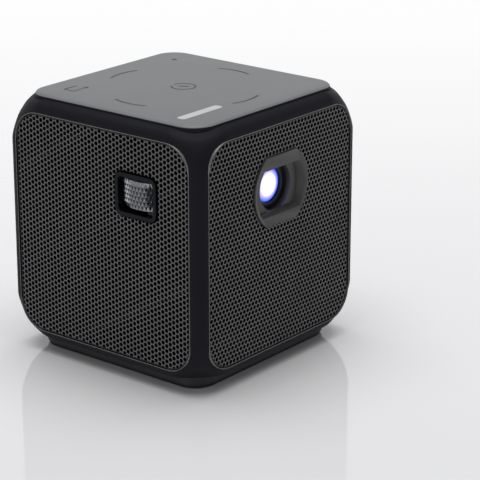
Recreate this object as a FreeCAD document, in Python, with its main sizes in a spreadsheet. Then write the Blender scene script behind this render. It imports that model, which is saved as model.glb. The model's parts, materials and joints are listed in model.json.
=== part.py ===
import FreeCAD, Part
import math
import os
import re
from FreeCAD import Placement, Rotation, Vector
import Sketcher

# Pocket home projector. Millimetres, +Z up, origin at the middle of the foot, on the table.
# -Y is the lens side, -X the focus wheel side, +Y the sockets, +X the fan outlet.

doc = FreeCAD.newDocument("home_projector")

DIMS = {
    # frame
    "frame_half": 31.0, "frame_low": 3.0, "frame_top": 65.0, "frame_mid": 34.0, "corner_sphere": 48.2,
    "cavity_half": 28.3, "cavity_low": 5.7, "cavity_top": 62.3, "cavity_sphere": 45.5,
    # side panels
    "panel_half": 27.4, "panel_tall": 27.85, "panel_round": 6.9, "panel_face": 30.74, "panel_back": 29.94,
    "cloth_back": 29.64, "panel_gap": 0.2, "ledge_half": 25.9, "ledge_tall": 26.3, "ledge_round": 5.5,
    # top and foot
    "plate_half": 27.5, "plate_round": 6.0, "plate_low": 64.0, "plate_top": 65.9, "top_hole": 24.5,
    "foot_half": 26.6, "foot_round": 6.0, "foot_low": 1.0, "plug_half": 22.4,
    # lens
    "lens_x": -0.5, "lens_z": 46.0, "bezel_r": 10.4, "bezel_flat": 8.7, "bezel_front": 31.3,
    "bezel_back": 26.6, "barrel_r": 5.6, "barrel_front": 27.5, "rod_r": 1.0, "rod_off": 8.2,
    # focus wheel
    "wheel_x": -21.5, "wheel_y": -11.4, "wheel_r": 9.45, "wheel_low": 43.8, "wheel_top": 51.2,
    "axle_r": 1.5, "gear_module": 0.6, "gear_teeth": 10, "pinion_low": 39.6,
    "rack_low": 40.6, "rack_top": 42.8,
    # inside
    "deck_low": 30.0, "deck_top": 31.5, "board_low": 9.0, "board_top": 10.6, "board_half": 25.0,
    "fan_y": 10.0, "fan_z": 43.5, "fan_half": 12.0, "fan_bore": 10.9, "fan_in": 22.3, "fan_out": 28.3,
    "speaker_z": 20.5, "speaker_r": 9.0,
}
EDGE_ROUND = 3.8
CORNER_ROUND = 6.5
CAVITY_ROUND = 1.6

sheet = doc.addObject("Spreadsheet::Sheet", "Dims")
for row, (alias, value) in enumerate(DIMS.items(), 1):
    sheet.set("A%d" % row, alias.replace("_", " "))
    sheet.set("B%d" % row, str(value))
    sheet.setAlias("B%d" % row, alias)
doc.recompute()

AXES = {"X": Vector(1, 0, 0), "Y": Vector(0, 1, 0), "Z": Vector(0, 0, 1)}
nodes = []


def expression(text):
    """Point every dimension's name at the spreadsheet."""
    return re.sub(r"[a-z][a-z_]+", lambda m: "Dims." + m.group() if m.group() in DIMS else m.group(), str(text))


def bind(obj, **values):
    """Drive properties by expressions. A double underscore stands for a dot."""
    for path, value in values.items():
        obj.setExpression(path.replace("__", "."), expression(value))


def place(obj, x, y, z, rotation=None):
    obj.Placement = Placement(Vector(0, 0, 0), rotation or Rotation())
    bind(obj, Placement__Base__x=x, Placement__Base__y=y, Placement__Base__z=z)
    return obj


def box(name, x, y, z):
    """A block between the two values given for each axis."""
    obj = doc.addObject("Part::Box", name)
    spans = ["(%s) - (%s)" % (hi, lo) for lo, hi in (x, y, z)]
    bind(obj, Length=spans[0], Width=spans[1], Height=spans[2])
    return place(obj, x[0], y[0], z[0])


def rod(name, axis, start, radius, length):
    """A cylinder from start along +axis."""
    obj = doc.addObject("Part::Cylinder", name)
    bind(obj, Radius=radius, Height=length)
    return place(obj, *start, rotation=Rotation(AXES["Z"], AXES[axis]))


def ball(name, centre, radius):
    obj = doc.addObject("Part::Sphere", name)
    bind(obj, Radius=radius)
    return place(obj, *centre)


def fuse(name, parts):
    obj = doc.addObject("Part::MultiFuse", name)
    obj.Shapes = parts
    return obj


def group(name, parts):
    """Several separate solids that make one node."""
    obj = doc.addObject("Part::Compound", name)
    obj.Links = parts
    return obj


def common(name, parts):
    obj = doc.addObject("Part::MultiCommon", name)
    obj.Shapes = parts
    return obj


def cut(name, base, tools):
    obj = doc.addObject("Part::Cut", name)
    obj.Base = base
    obj.Tool = tools[0] if len(tools) == 1 else fuse(name + "_tools", tools)
    return obj


def rounded(name, base, straight, curved):
    """Round every edge of a shape, the straight ones and the curved ones by their own radius."""
    doc.recompute()
    obj = doc.addObject("Part::Fillet", name)
    obj.Base = base
    radii = [straight if isinstance(edge.Curve, Part.Line) else curved for edge in base.Shape.Edges]
    obj.Edges = [(i + 1, radius, radius) for i, radius in enumerate(radii)]
    return obj


def node(obj, label):
    obj.Label = label
    nodes.append(obj)
    return obj


# Sketched bodies

def new_body(name):
    return doc.addObject("PartDesign::Body", name)


def sketch_on(body, plane, offset):
    sketch = body.newObject("Sketcher::SketchObject", body.Name + "_sketch")
    role = plane + "_Plane"
    base = [f for f in body.Origin.OriginFeatures if f.Role == role][0]
    sketch.AttachmentSupport = (base, [""])
    sketch.MapMode = "FlatFace"
    bind(sketch, AttachmentOffset__Base__z=offset)
    return sketch


def name_last(sketch, **values):
    """Bind the constraints just added, newest last."""
    first = len(sketch.Constraints) - len(values)
    for i, (label, value) in enumerate(values.items()):
        full = "%s_%d" % (label, first + i)
        sketch.renameConstraint(first + i, full)
        sketch.setExpression("Constraints." + full, expression(value))


def value_of(text):
    """Work out an expression, for a sketch's starting shape."""
    probe = doc.getObject("Probe") or doc.addObject("App::FeaturePython", "Probe")
    if "number" not in probe.PropertiesList:
        probe.addProperty("App::PropertyFloat", "number")
    probe.setExpression("number", expression(text))
    probe.recompute()
    return float(probe.number)


def draw_rectangle(sketch, x, y, radius):
    """A rectangle with rounded corners between the x and y values."""
    x0, x1, y0, y1, r = [value_of(v) for v in (x[0], x[1], y[0], y[1], radius)]
    line, c = Part.LineSegment, Sketcher.Constraint
    ends = [((x0 + r, y0), (x1 - r, y0)), ((x1, y0 + r), (x1, y1 - r)),
            ((x1 - r, y1), (x0 + r, y1)), ((x0, y1 - r), (x0, y0 + r))]
    centres = [(x1 - r, y0 + r, -90), (x1 - r, y1 - r, 0), (x0 + r, y1 - r, 90), (x0 + r, y0 + r, 180)]
    n = sketch.GeometryCount
    for a, b in ends:
        sketch.addGeometry(line(Vector(*a, 0), Vector(*b, 0)), False)
    for cx, cy, start in centres:
        circle = Part.Circle(Vector(cx, cy, 0), AXES["Z"], r)
        arc = Part.ArcOfCircle(circle, math.radians(start), math.radians(start + 90))
        sketch.addGeometry(arc, False)
    for i in range(4):
        sketch.addConstraint(c("Tangent", n + i, 2, n + 4 + i, 1))
        sketch.addConstraint(c("Tangent", n + 4 + i, 2, n + (i + 1) % 4, 1))
    sketch.addConstraint([c("Horizontal", n), c("Vertical", n + 1), c("Horizontal", n + 2), c("Vertical", n + 3)])
    sketch.addConstraint([c("Equal", n + 4, n + 5), c("Equal", n + 5, n + 6), c("Equal", n + 6, n + 7)])
    sketch.addConstraint([c("DistanceX", n + 3, 1, x0), c("DistanceX", n + 1, 1, x1)])
    sketch.addConstraint([c("DistanceY", n, 1, y0), c("DistanceY", n + 2, 1, y1), c("Radius", n + 4, r)])
    name_last(sketch, left=x[0], right=x[1], low=y[0], high=y[1], round=radius)


def draw_circle(sketch, x, y, radius):
    cx, cy, r = value_of(x), value_of(y), value_of(radius)
    n = sketch.GeometryCount
    sketch.addGeometry(Part.Circle(Vector(cx, cy, 0), AXES["Z"], r), False)
    c = Sketcher.Constraint
    sketch.addConstraint([c("DistanceX", n, 3, cx), c("DistanceY", n, 3, cy), c("Radius", n, r)])
    name_last(sketch, across=x, up=y, radius=radius)


def draw_barrel(sketch, x, y, radius, flat):
    """A circle with its top and bottom cut flat."""
    cx, cy, r, f = [value_of(v) for v in (x, y, radius, flat)]
    half = math.sqrt(r * r - f * f)
    a = math.atan2(f, half)
    c = Sketcher.Constraint
    n = sketch.GeometryCount
    circle = Part.Circle(Vector(cx, cy, 0), AXES["Z"], r)
    sketch.addGeometry(Part.ArcOfCircle(circle, -a, a), False)
    sketch.addGeometry(Part.LineSegment(Vector(cx + half, cy + f, 0), Vector(cx - half, cy + f, 0)), False)
    sketch.addGeometry(Part.ArcOfCircle(circle, math.pi - a, math.pi + a), False)
    sketch.addGeometry(Part.LineSegment(Vector(cx - half, cy - f, 0), Vector(cx + half, cy - f, 0)), False)
    for i in range(4):
        sketch.addConstraint(c("Coincident", n + i, 2, n + (i + 1) % 4, 1))
    sketch.addConstraint([c("Horizontal", n + 1), c("Horizontal", n + 3), c("Coincident", n, 3, n + 2, 3)])
    sketch.addConstraint([c("DistanceX", n, 3, cx), c("DistanceY", n, 3, cy), c("Radius", n, r)])
    sketch.addConstraint([c("DistanceY", n + 1, 1, cy + f), c("DistanceY", n + 3, 1, cy - f)])
    top, low = "(%s) + (%s)" % (y, flat), "(%s) - (%s)" % (y, flat)
    name_last(sketch, across=x, up=y, radius=radius, top=top, low=low)


DRAW = {"rect": draw_rectangle, "circle": draw_circle, "barrel": draw_barrel}


def slab(body, plane, lo, hi, *profiles):
    """Pad profiles between two values along the plane's world axis."""
    sketch = sketch_on(body, plane, "-(%s)" % hi if plane == "XZ" else lo)
    for kind, *values in profiles:
        DRAW[kind](sketch, *values)
    pad = body.newObject("PartDesign::Pad", body.Name + "_pad")
    pad.Profile = sketch
    bind(pad, Length="(%s) - (%s)" % (hi, lo))
    sketch.Visibility = False
    return pad


def pocket(body, plane, lo, hi, *profiles):
    """Cut profiles between two values along the plane's world axis."""
    sketch = sketch_on(body, plane, "-(%s)" % lo if plane == "XZ" else hi)
    for kind, *values in profiles:
        DRAW[kind](sketch, *values)
    feature = body.newObject("PartDesign::Pocket", body.Name + "_pocket")
    feature.Profile = sketch
    bind(feature, Length="(%s) - (%s)" % (hi, lo))
    sketch.Visibility = False
    return feature


def plate(name, plane, lo, hi, *profiles):
    body = new_body(name)
    slab(body, plane, lo, hi, *profiles)
    return body


def square(half, radius, x="0", y="0", tall=None):
    """A rounded rectangle about a middle."""
    tall = tall or half
    return ("rect", ("%s - (%s)" % (x, half), "%s + (%s)" % (x, half)),
            ("%s - (%s)" % (y, tall), "%s + (%s)" % (y, tall)), radius)


# Frame: a rounded cube, hollow, with a window in each side

blank = common("frame_solid", [
    box("frame_box", *[("-frame_half", "frame_half")] * 2, ("frame_low", "frame_top")),
    ball("frame_ball", ("0", "0", "frame_mid"), "corner_sphere")])
blank = rounded("frame_rounded", blank, EDGE_ROUND, CORNER_ROUND)
hollow = common("cavity_solid", [
    box("cavity_box", *[("-cavity_half", "cavity_half")] * 2, ("cavity_low", "cavity_top")),
    ball("cavity_ball", ("0", "0", "frame_mid"), "cavity_sphere")])
hollow = rounded("cavity_rounded", hollow, CAVITY_ROUND, CAVITY_ROUND)

window = square("panel_half + panel_gap", "panel_round + panel_gap", "0", "frame_mid", "panel_tall + panel_gap")
ledge = square("ledge_half", "ledge_round", "0", "frame_mid", "ledge_tall")
windows = [plate("window_right", "YZ", "cloth_back", "frame_half + 1", window),
           plate("window_left", "YZ", "-frame_half - 1", "-cloth_back", window),
           plate("window_back", "XZ", "cloth_back", "frame_half + 1", window),
           plate("window_front", "XZ", "-frame_half - 1", "-cloth_back", window),
           plate("ledge_x", "YZ", "-frame_half", "frame_half", ledge),
           plate("ledge_y", "XZ", "-frame_half", "frame_half", ledge),
           plate("seat_top", "XY", "plate_low", "frame_top + 1", square("plate_half + 0.15", "plate_round + 0.15")),
           plate("hole_top", "XY", "cavity_top - 2", "frame_top", square("top_hole", "4")),
           plate("hole_low", "XY", "frame_low - 1", "cavity_low + 2", square("plug_half + 0.1", "4.1"))]
FOOT_SCREWS = [(24.3, 0), (-24.3, 0), (0, 24.3), (0, -24.3)]
pilots = [rod("frame_pilot", "Z", (x, y, "frame_low"), "0.8", "2.3") for x, y in FOOT_SCREWS]
node(cut("frame_shell", blank, [hollow] + windows + pilots), "frame_shell")

# Side panels, each with black cloth behind it, cut out for what shows in that side

LENS_HOLE = ("barrel", "lens_x", "lens_z", "bezel_r + 0.1", "bezel_flat + 0.1")
FOCUS_HOLE = ("rect", ("wheel_y - 6.5", "wheel_y + 6.5"), ("41.9", "52.75"), "2.1")
PORT_HOLE = ("rect", ("-22.15", "22.15"), ("9.35", "27.15"), "2.15")
panel = square("panel_half", "panel_round", "0", "frame_mid", "panel_tall")
sides = {"front": ("XZ", -1, LENS_HOLE), "left": ("YZ", -1, FOCUS_HOLE),
         "right": ("YZ", 1, None), "back": ("XZ", 1, PORT_HOLE)}
for side, (plane, sign, hole) in sides.items():
    for kind, low, high in (("grille_", "panel_back", "panel_face"), ("dust_cloth_", "cloth_back", "panel_back")):
        lo, hi = (low, high) if sign > 0 else ("-" + high, "-" + low)
        profiles = [panel] + ([hole] if hole else [])
        node(plate(kind + side, plane, lo, hi, *profiles), kind + side)

# Top plate and the touch board under it

top = new_body("top_plate")
slab(top, "XY", "plate_low", "plate_top", square("plate_half", "plate_round"))
doc.recompute()
chamfer = top.newObject("PartDesign::Chamfer", "top_plate_chamfer")
edges = ["Edge%d" % (i + 1) for i, e in enumerate(top.Shape.Edges)
         if e.BoundBox.ZMin > DIMS["plate_top"] - 0.01]
chamfer.Base = (top.Tip if top.Tip != chamfer else doc.getObject("top_plate_pad"), edges)
chamfer.Size = 0.5
node(top, "top_plate")
node(plate("touch_board", "XY", "plate_low - 1.2", "plate_low", square("24", "3.5")), "touch_board")

# Foot: a plate that plugs the frame, its rubber ring, screws and a tripod insert

base = new_body("base_plate")
slab(base, "XY", "foot_low", "frame_low", square("foot_half", "foot_round"))
slab(base, "XY", "frame_low", "cavity_low", square("plug_half", "4"))
BOARD_SCREWS = [(18.5, 14.5), (-18.5, 14.5), (18.5, -14.5), (-18.5, -14.5)]
for x, y in BOARD_SCREWS:
    slab(base, "XY", "cavity_low", "board_low", ("circle", x, y, "3"))
slab(base, "XY", "cavity_low", "8.4", ("circle", "0", "0", "6.5"))
pocket(base, "XY", "foot_low", "7.6", ("circle", "0", "0", "4.2"))
for x, y in BOARD_SCREWS:
    pocket(base, "XY", "4.5", "board_low", ("circle", x, y, "0.8"))
for x, y in FOOT_SCREWS:
    pocket(base, "XY", "foot_low", "2", ("circle", x, y, "1.6"))
    pocket(base, "XY", "foot_low", "frame_low", ("circle", x, y, "0.9"))
node(base, "base_plate")

insert = new_body("tripod_insert")
slab(insert, "XY", "foot_low", "7.6", ("circle", "0", "0", "4.2"))
pocket(insert, "XY", "foot_low", "7", ("circle", "0", "0", "2.55"))
node(insert, "tripod_insert")
node(plate("foot_pad", "XY", "0", "foot_low", square("26.2", "5.6"), square("20", "4")), "foot_pad")


def screws(label, places, low, neck, top, head_r, shank_r, head_up=True):
    """One node of equal screws, each a head and a shank."""
    parts = []
    for x, y in places:
        head, shank = ((neck, top), (low, neck)) if head_up else ((low, neck), (neck, top))
        parts.append(fuse(label + "_one", [
            rod(label + "_head", "Z", (x, y, head[0]), head_r, "%s - %s" % (head[1], head[0])),
            rod(label + "_shank", "Z", (x, y, shank[0]), shank_r, "%s - %s" % (shank[1], shank[0]))]))
    return node(group(label, parts), label)


screws("foot_screws", FOOT_SCREWS, 1.0, 2.0, 5.2, 1.5, 0.8, head_up=False)
screws("board_screws", BOARD_SCREWS, 5.0, 10.6, 11.7, 1.8, 0.8)

# Main board, its chips and the sockets along the back

board = new_body("main_board")
slab(board, "XY", "board_low", "board_top", square("board_half", "2"), *[("circle", x, y, "1") for x, y in BOARD_SCREWS])
node(board, "main_board")
node(group("board_chips", [
    box("processor", ("-6", "6"), ("-6", "6"), ("board_top", "board_top + 1.4")),
    box("memory", ("8", "16"), ("-8", "2"), ("board_top", "board_top + 1")),
    box("power_chip", ("-5", "1"), ("-17", "-11"), ("board_top", "board_top + 1.1")),
    box("coil", ("5", "11"), ("-19", "-13"), ("board_top", "board_top + 3"))]), "board_chips")

hdmi = cut("hdmi_shell", box("hdmi_can", ("-20.5", "-5.5"), ("19", "30.2"), ("board_top", "board_top + 5.6")),
           [box("hdmi_mouth", ("-20", "-6"), ("21", "31"), ("board_top + 0.5", "board_top + 5.1"))])
tongue = box("hdmi_tongue", ("-18.6", "-7.4"), ("20.8", "29.4"), ("board_top + 2.1", "board_top + 3"))
node(fuse("hdmi_socket", [hdmi, tongue]), "hdmi_socket")
usb = cut("usb_shell", box("usb_can", ("-3.6", "9.6"), ("17", "30.2"), ("board_top", "board_top + 5.9")),
          [box("usb_mouth", ("-3.2", "9.2"), ("19", "31"), ("board_top + 0.4", "board_top + 5.5"))])
tongue = box("usb_tongue", ("-2.4", "8.4"), ("18.8", "29.6"), ("board_top + 3.2", "board_top + 5"))
node(fuse("usb_socket", [usb, tongue]), "usb_socket")
JACK = ("14.6", "13.6")
jack = fuse("jack_outside", [box("jack_box", ("11.6", "17.6"), ("18", "28.2"), ("board_top", "board_top + 6")),
                             rod("jack_nose", "Y", (JACK[0], "28.2", JACK[1]), "2.7", "2")])
node(cut("audio_jack", jack, [rod("jack_hole", "Y", (JACK[0], "19.2", JACK[1]), "1.8", "12")]), "audio_jack")

# Second row: power slide switch, charging socket and status light on a small upright board

SWITCH_X, SWITCH_Z = -11.0, 23.3
node(box("switch_board", ("-19", "19"), ("21.4", "22.6"), ("18.5", "28.3")), "switch_board")
node(box("switch_case", ("-16", "-6"), ("22.6", "27"), ("20.8", "25.8")), "switch_case")
charge = cut("charge_shell", box("charge_can", ("0.5", "9.5"), ("22.6", "30.2"), ("21.6", "24.8")),
             [box("charge_mouth", ("0.9", "9.1"), ("25", "31"), ("22", "24.4"))])
node(fuse("charge_socket", [charge, box("charge_tongue", ("2", "8"), ("24.9", "29.6"), ("22.9", "23.5"))]),
     "charge_socket")
node(rod("status_light", "Y", ("15", "22.6", "23.2"), "1", "8.1"), "status_light")

ports = new_body("port_plate")
slab(ports, "XZ", "28.44", "cloth_back", ("rect", ("-23.2", "23.2"), ("8.4", "28.5"), "3"))
slab(ports, "XZ", "cloth_back", "30.7", ("rect", ("-22", "22"), ("9.5", "27"), "2"))
pocket(ports, "XZ", "28", "31", ("rect", ("-20.65", "-5.35"), ("10.4", "16.4"), "0.4"),
       ("rect", ("-3.75", "9.75"), ("10.4", "16.7"), "0.4"), ("circle", JACK[0], JACK[1], "2.8"),
       ("rect", ("0.35", "9.65"), ("21.45", "24.95"), "0.2"), ("circle", "15", "23.2", "1.1"),
       ("rect", ("-13", "-7"), ("21.9", "24.7"), "0.4"))
node(ports, "port_plate")
node(fuse("power_slider", [box("slider_thumb", ("-12.6", "-9.4"), ("27.3", "31.2"), ("22.3", "24.3")),
                           box("slider_guard", ("-13.8", "-8.2"), ("27.3", "28.1"), ("21.4", "25.2"))]),
     "power_slider")

# Deck that carries the optics, with the battery glued under it

ENGINE_SCREWS = [(-13.7, 6.0), (-13.7, 20.0), (10.5, -4.0), (-10.5, -4.0)]
deck = new_body("deck_plate")
slab(deck, "XY", "deck_low", "deck_top", square("cavity_half", "1.6"),
     *[("circle", x, y, "0.8") for x, y in ENGINE_SCREWS])
node(deck, "deck_plate")
node(plate("battery_pack", "XY", "deck_low - 9", "deck_low", ("rect", ("-16", "24"), ("-22", "16"), "3")),
     "battery_pack")

# Light engine: housing, mirror chip and board, prism, lamps

engine = new_body("engine_block")
slab(engine, "XY", "deck_top", "33", ("rect", ("-15.2", "12"), ("-6", "24"), "1"),
     *[("circle", x, y, "1") for x, y in ENGINE_SCREWS])
slab(engine, "XY", "33", "57", ("rect", ("-12", "12"), ("2", "24"), "1"))
cavity = box("engine_room", ("-10.2", "10.2"), ("3.8", "22.2"), ("34.8", "55.2"))
engine_cuts = [cavity, rod("lens_way", "Y", ("lens_x", "1", "lens_z"), "barrel_r + 0.4", "4"),
               box("chip_way", ("-4", "3"), ("21", "25"), ("43", "49")),
               rod("lamp_way_a", "X", ("-13", "13", "44"), "2.6", "4"),
               rod("lamp_way_b", "X", ("9", "9", "44"), "2.6", "4"),
               rod("lamp_way_c", "X", ("9", "18", "44"), "2.6", "4")]
node(cut("engine_casting", engine, engine_cuts), "engine_housing")
node(box("mirror_chip", ("-6", "5"), ("24", "25.2"), ("41", "51")), "mirror_chip")
node(box("chip_board", ("-11", "11"), ("25.2", "26.4"), ("36", "56")), "chip_board")
prism = doc.addObject("Part::Wedge", "relay_prism")
bind(prism, Xmax="9", X2min="0", X2max="0.5", Ymax="8", Zmax="8", Z2max="8")
place(prism, "-5", "14.2", "42")
node(prism, "relay_prism")


def lamp(label, x, y, glass_x):
    """A lamp: a square copper base with its glass on the side of the housing."""
    back = box(label + "_base", (x, x + 1), (y - 3.8, y + 3.8), (40, 48))
    return node(fuse(label, [back, rod(label + "_glass", "X", (glass_x, y, "44"), "2.2", "1.6")]), label)


lamp("lamp_blue", -13, 13.0, -12)
lamp("lamp_red", 12, 9.0, 10.4)
lamp("lamp_green", 12, 18.0, 10.4)
screws("engine_screws", ENGINE_SCREWS, 30.2, 33.0, 34.0, 1.5, 0.75)

# Cooling: finned sink, copper pipe over the top and the fan

fins = [box("fin", ("14.9", "21.9"), (3 + 2.4 * i, 3.8 + 2.4 * i), ("34.5", "53.5")) for i in range(9)]
node(fuse("heat_sink", [box("sink_base", ("13", "15"), ("3", "23"), ("deck_top", "56"))] + fins), "heat_sink")


def bent_pipe(name, points, bend, radius):
    """A round pipe through points, bent at each inner one."""
    edges, start = [], Vector(*points[0])
    for before, here, after in zip(points, points[1:], points[2:]):
        here = Vector(*here)
        back = (Vector(*before) - here).normalize()
        ahead = (Vector(*after) - here).normalize()
        first, last = here + back * bend, here + ahead * bend
        middle = here + (back + ahead) * bend * (1 - 1 / math.sqrt(2))
        edges += [Part.makeLine(start, first), Part.Arc(first, middle, last).toShape()]
        start = last
    edges.append(Part.makeLine(start, Vector(*points[-1])))
    ring = Part.Wire(Part.makeCircle(radius, Vector(*points[0]), Vector(*points[1]) - Vector(*points[0])))
    obj = doc.addObject("Part::Feature", name)
    obj.Shape = Part.Wire(edges).makePipeShell([ring], True, True)
    obj.Placement = Placement()
    return obj


node(bent_pipe("heat_pipe", [(-14.5, 13, 38), (-14.5, 13, 58.6), (14, 13, 58.6), (14, 13, 56)], 2.4, 1.5),
     "heat_pipe")

FAN_X = ("fan_in", "fan_out")
fan_body = box("fan_block", FAN_X, ("fan_y - fan_half", "fan_y + fan_half"), ("fan_z - fan_half", "fan_z + fan_half"))
fan_frame = cut("fan_frame", fan_body, [rod("fan_throat", "X", ("fan_in - 1", "fan_y", "fan_z"), "fan_bore", "8")])
struts = []
for turn in range(3):
    strut = box("fan_strut", FAN_X, ("0", "fan_bore + 0.4"), ("-0.6", "0.6"))
    bind(strut, Length="0.7")
    place(strut, "fan_in", "fan_y", "fan_z", Rotation(AXES["X"], 120 * turn + 30))
    struts.append(strut)
struts.append(rod("fan_seat", "X", ("fan_in", "fan_y", "fan_z"), "4.5", "0.7"))
struts.append(rod("fan_pin", "X", ("fan_in", "fan_y", "fan_z"), "0.75", "4.6"))
node(fuse("fan_housing", [fan_frame] + struts), "fan_housing")

BLADES = 7
blades = [rod("fan_hub", "X", ("23.4", "fan_y", "fan_z"), "4.4", "4.2")]
for i in range(BLADES):
    blade = doc.addObject("Part::Box", "blade")
    bind(blade, Length="4", Width="6.6", Height="0.6")
    turn = Rotation(AXES["X"], 360 * i / BLADES) * Rotation(AXES["Y"], 42)
    corner = turn.multVec(Vector(-2, 3.8, -0.3))
    place(blade, 25.5 + corner.x, "fan_y + %.6f" % corner.y, "fan_z + %.6f" % corner.z, turn)
    blades.append(blade)
rotor = cut("fan_wheel", fuse("fan_blades", blades), [rod("fan_eye", "X", ("23", "fan_y", "fan_z"), "0.8", "4.2")])
node(rotor, "fan_rotor")

# Lens: fixed bezel and rods, and the group that slides to focus

bezel = new_body("lens_bezel")
slab(bezel, "XZ", "-bezel_front", "-bezel_back", ("barrel", "lens_x", "lens_z", "bezel_r", "bezel_flat"))
slab(bezel, "XZ", "-cloth_back", "-28.4", ("circle", "lens_x", "lens_z", "12.4"))
pocket(bezel, "XZ", "-bezel_front", "-28.6", ("barrel", "lens_x", "45.6", "9.3", "5.8"))
pocket(bezel, "XZ", "-bezel_front", "-20", ("circle", "lens_x", "lens_z", "barrel_r + 0.4"))
node(bezel, "lens_bezel")
rods = [rod("guide", "Y", ("lens_x", "-bezel_back", "lens_z %s rod_off" % s), "rod_r", "bezel_back + 2") for s in "+-"]
node(group("guide_rods", rods), "guide_rods")

barrel = cut("barrel_turned", rod("barrel_tube", "Y", ("lens_x", "-barrel_front", "lens_z"), "barrel_r", "36"),
             [rod("barrel_bore", "Y", ("lens_x", "-24", "lens_z"), "3.6", "40"),
              rod("barrel_mouth", "Y", ("lens_x", "-barrel_front - 1", "lens_z"), "4.5", "4.5")])
node(barrel, "lens_barrel")
front_glass = common("front_glass", [
    rod("front_disc", "Y", ("lens_x", "-27.3", "lens_z"), "4.5", "3.3"),
    ball("front_ball", ("lens_x", "-27.3 + 14", "lens_z"), "14")])
node(front_glass, "front_lens")
node(rod("rear_lens", "Y", ("lens_x", "5.5", "lens_z"), "3.6", "2.4"), "rear_lens")


def tooth(module, teeth, index):
    """One pinion tooth's outline with straight flanks, thinned a little for backlash."""
    pitch_r = module * teeth / 2
    rows = ((pitch_r - 1.15 * module, 0.40), (pitch_r, 0.215), (pitch_r + 0.45 * module, 0.150),
            (pitch_r + 0.9 * module, 0.075))
    middle = 2 * math.pi * index / teeth
    left = [(r, middle + 2 * math.pi / teeth * w) for r, w in rows]
    right = [(r, middle - 2 * math.pi / teeth * w) for r, w in reversed(rows)]
    return [(r * math.cos(a), r * math.sin(a)) for r, a in right[::-1] + left[::-1]]


def prism_of(name, points, low, high):
    """A straight prism over a closed outline."""
    corners = [Vector(x, y, 0) for x, y in points]
    obj = doc.addObject("Part::Feature", name)
    face = Part.Face(Part.makePolygon(corners + corners[:1]))
    obj.Shape = face.extrude(Vector(0, 0, high - low))
    return obj


MODULE, TEETH = DIMS["gear_module"], int(DIMS["gear_teeth"])
pinion = [rod("pinion_core", "Z", ("wheel_x", "wheel_y", "pinion_low"), "2.35", "wheel_low - pinion_low")]
for i in range(TEETH):
    part = prism_of("pinion_tooth", tooth(MODULE, TEETH, i), DIMS["pinion_low"], DIMS["wheel_low"])
    place(part, "wheel_x", "wheel_y", "pinion_low")
    pinion.append(part)
wheel = new_body("wheel_rim")
slab(wheel, "XY", "wheel_low", "wheel_top", ("circle", "wheel_x", "wheel_y", "wheel_r"))
doc.recompute()
edge_cut = wheel.newObject("PartDesign::Chamfer", "wheel_rim_chamfer")
edge_cut.Base = (doc.getObject("wheel_rim_pad"),
                 ["Edge%d" % (i + 1) for i, e in enumerate(wheel.Shape.Edges) if len(e.Vertexes) == 1])
edge_cut.Size = 0.4
node(cut("wheel_bored", fuse("wheel_whole", [wheel] + pinion),
         [rod("wheel_eye", "Z", ("wheel_x", "wheel_y", "pinion_low - 1"), "axle_r + 0.05", "20")]), "focus_wheel")
node(rod("wheel_axle", "Z", ("wheel_x", "wheel_y", "37"), "axle_r", "16.6"), "wheel_axle")
arms = [box("bracket_arm", ("-23.6", "-19.4"), ("-14", "0.6"), (low, high)) for low, high in
        (("37.4", "39.2"), ("51.6", "53"))]
arms.append(box("bracket_post", ("-23.6", "-19.4"), ("-1", "0.6"), ("deck_top", "53")))
arms.append(box("bracket_foot", ("-23.6", "-19.4"), ("-1", "5"), ("deck_top", "deck_top + 1.5")))
node(cut("bracket_drilled", fuse("bracket_whole", arms),
         [rod("bracket_eye", "Z", ("wheel_x", "wheel_y", "36"), "axle_r", "20")]), "wheel_bracket")

window_bezel = new_body("focus_bezel")
slab(window_bezel, "YZ", "-31.15", "-cloth_back", ("rect", ("wheel_y - 6.4", "wheel_y + 6.4"), ("42", "52.65"), "2"))
slab(window_bezel, "YZ", "-cloth_back", "-29.04", ("rect", ("wheel_y - 7.6", "wheel_y + 7.6"), ("40.8", "53.8"), "2"))
pocket(window_bezel, "YZ", "-32", "-28", ("rect", ("wheel_y - 5.55", "wheel_y + 5.55"), ("43.4", "51.6"), "1.2"))
pocket(window_bezel, "YZ", "-cloth_back", "-28", ("rect", ("wheel_y - 6.2", "wheel_y + 6.2"), ("43.4", "51.6"), "1.2"))
node(window_bezel, "focus_bezel")

# Carriage: clamps the barrel, runs on both rods and carries the rack

PITCH = math.pi * MODULE
RACK_X = DIMS["wheel_x"] + MODULE * TEETH / 2
rack_points = [(RACK_X + 3.2, -16.6), (RACK_X + 3.2, -4.6)]
for i in (3, 2, 1, 0, -1, -2, -3):
    y = DIMS["wheel_y"] + PITCH * (i - 0.5)
    rack_points += [(RACK_X + 1.2 * MODULE, y + PITCH * 0.40), (RACK_X - 0.9 * MODULE, y + PITCH * 0.07),
                    (RACK_X - 0.9 * MODULE, y - PITCH * 0.07), (RACK_X + 1.2 * MODULE, y - PITCH * 0.40)]
rack_points[1] = (RACK_X + 3.2, rack_points[2][1])
rack_points[0] = (RACK_X + 3.2, rack_points[-1][1])
rack = prism_of("rack_bar", rack_points, DIMS["rack_low"], DIMS["rack_top"])
place(rack, "0", "0", "rack_low")
carriage = fuse("carriage_whole", [
    rod("carriage_ring", "Y", ("lens_x", "-12", "lens_z"), "7", "4"),
    rod("sleeve_high", "Y", ("lens_x", "-14", "lens_z + rod_off"), "2.1", "8"),
    rod("sleeve_low", "Y", ("lens_x", "-14", "lens_z - rod_off"), "2.1", "8"),
    box("rack_arm", ("-16", "-5.6"), ("-12", "-8"), ("rack_low", "rack_top")), rack])
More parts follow.
